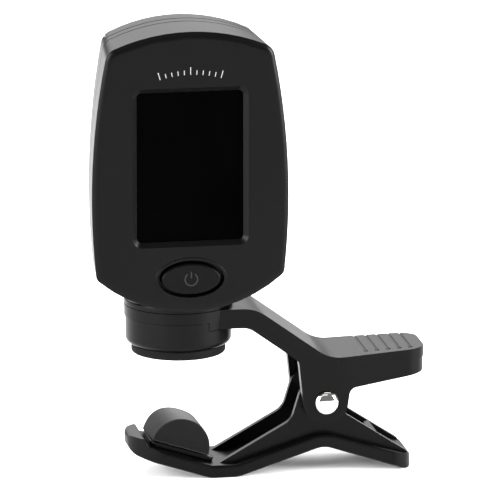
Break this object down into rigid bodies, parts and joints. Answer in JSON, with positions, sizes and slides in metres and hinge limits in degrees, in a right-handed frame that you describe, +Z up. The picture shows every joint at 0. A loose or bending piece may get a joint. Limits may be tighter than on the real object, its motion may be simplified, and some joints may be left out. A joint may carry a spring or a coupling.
{
  "type": "clip-on tuner",
  "caption": "Clip-on tuner with a tall display head that swivels and tilts on a sprung two-lever clip with padded jaws.",
  "frame": {"origin": "the middle of the underside of the bounding box, on the surface that the clip's lower lever stands on", "axes": "+Z up, the display faces -Y, and the clip's grips point along +X"},
  "size_m": [0.0692, 0.0268, 0.0936],
  "materials": {
    "satin_shell": "satin",
    "button_black": "satin",
    "lens_black": "gloss",
    "pad_rubber": "matte",
    "pad_foam": "matte",
    "bright_pin": "polished",
    "steel": "satin",
    "coin_metal": "satin",
    "brass": "satin",
    "white_ceramic": "satin",
    "lcd_grey": "gloss",
    "guide_white": "satin",
    "board_green": "satin",
    "chip_black": "matte"
  },
  "bodies": {
    "lower": {"lower_lever": "satin_shell", "pad_carrier": "satin_shell", "lower_jaw_pad": "pad_foam", "pivot_pin": "bright_pin", "pivot_cap": "bright_pin", "torsion_spring": "steel"},
    "upper": {"upper_lever": "satin_shell", "sensor_cup": "satin_shell", "upper_jaw_pad": "pad_rubber", "piezo_disc": "brass", "piezo_ceramic": "white_ceramic", "cup_screw_1": "steel", "cup_screw_2": "steel"},
    "swivel": {"swivel_base": "satin_shell", "swivel_washer": "steel", "swivel_screw": "steel", "tilt_pin": "steel"},
    "head": {"front_bezel": "satin_shell", "rear_cover": "satin_shell", "display_lens": "lens_black", "lcd_panel": "lcd_grey", "backlight": "guide_white", "circuit_board": "board_green", "tuner_chip": "chip_black", "power_switch": "chip_black", "coin_cell": "coin_metal", "contact_negative": "brass", "contact_positive": "brass", "head_screw_1": "steel", "head_screw_2": "steel", "head_screw_3": "steel", "head_screw_4": "steel"},
    "button": {"power_button": "button_black"},
    "door": {"battery_door": "satin_shell"}
  },
  "joints": [
    {"name": "clip_pivot", "type": "hinge", "parent": "lower", "child": "upper", "pos_m": [0.01379, 0.0025, 0.0147], "axis": [0, 1, 0], "range_deg": [0, 26], "stiffness_Nm_per_rad": 0.1, "springref_deg": -45.84, "deforming": ["torsion_spring"]},
    {"name": "head_swivel", "type": "hinge", "parent": "upper", "child": "swivel", "pos_m": [-0.01491, 0.0025, 0.0354], "axis": [0, 0, 1], "range_deg": [-170, 170]},
    {"name": "head_tilt", "type": "hinge", "parent": "swivel", "child": "head", "pos_m": [-0.01491, 0.0075, 0.0412], "axis": [-1, 0, 0], "range_deg": [0, 85]},
    {"name": "button_press", "type": "slide", "parent": "head", "child": "button", "axis": [0, 1, 0], "range_m": [0, 0.0005], "stiffness_N_per_m": 400},
    {"name": "door_slide", "type": "slide", "parent": "head", "child": "door", "axis": [0, 0, 1], "range_m": [0, 0.012]}
  ]
}
